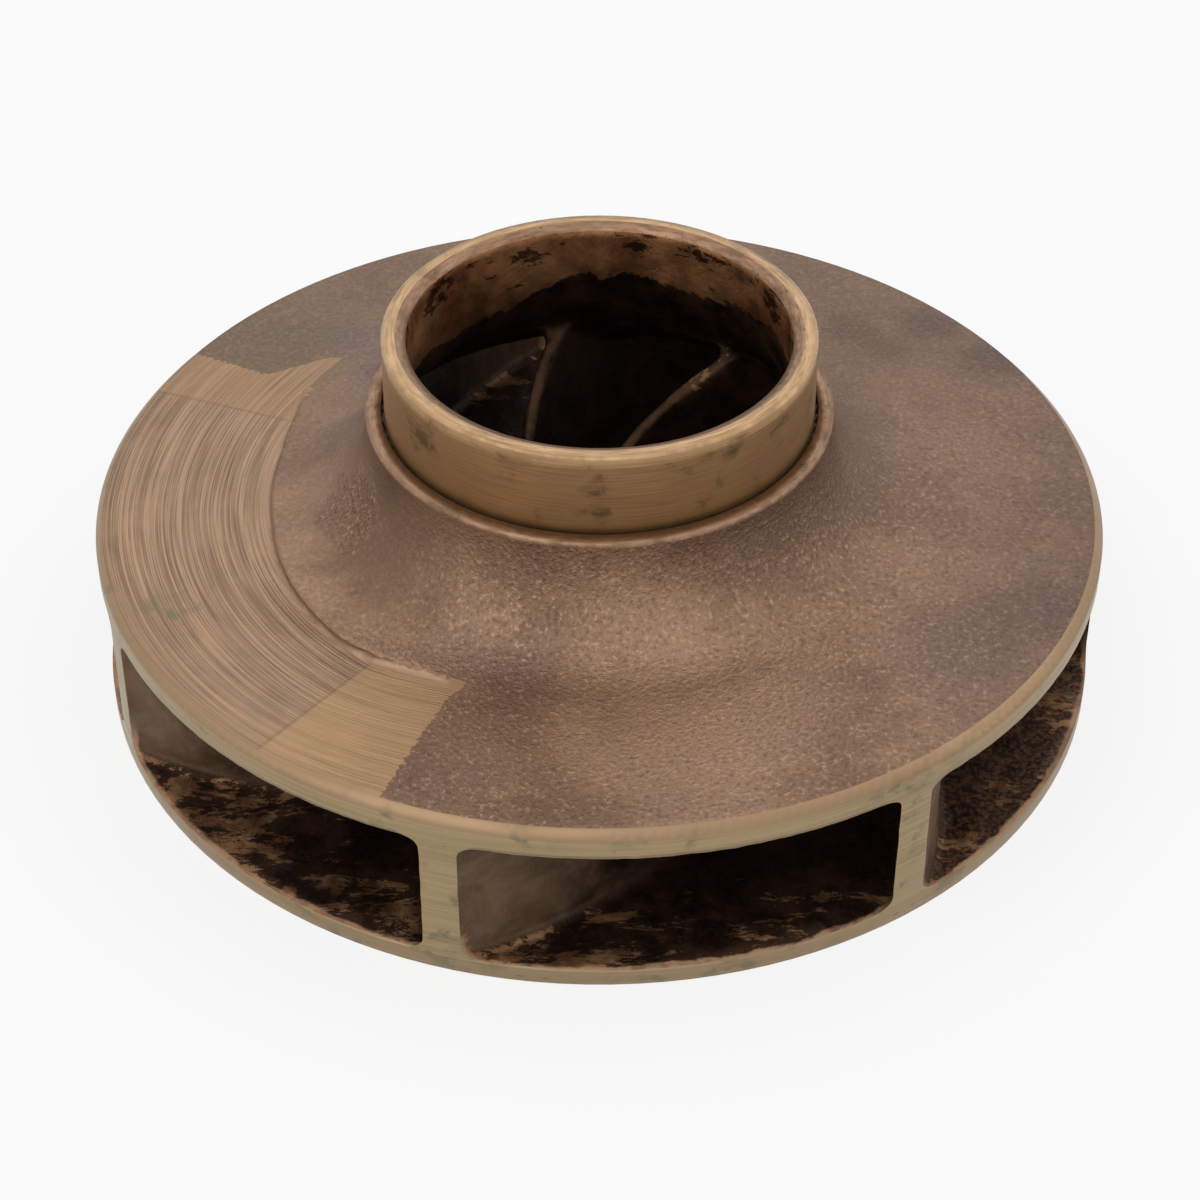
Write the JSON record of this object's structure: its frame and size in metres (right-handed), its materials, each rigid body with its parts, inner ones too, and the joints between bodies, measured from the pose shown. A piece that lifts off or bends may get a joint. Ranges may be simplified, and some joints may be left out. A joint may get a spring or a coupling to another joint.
{
  "type": "pump impeller",
  "caption": "Closed radial pump impeller cast in bronze, with curved vanes between two shrouds, a turned eye ring, a keyed hub bore and a turned balance cut.",
  "frame": {"origin": "centre of the back face, on the shaft axis", "axes": "+Z along the shaft axis, from the back face to the suction eye; the front of the part faces -Y"},
  "size_m": [0.2414, 0.2412, 0.0914],
  "materials": {
    "bronze": "cast and turned, satin"
  },
  "bodies": {
    "root": {"impeller": "bronze"}
  },
  "joints": []
}
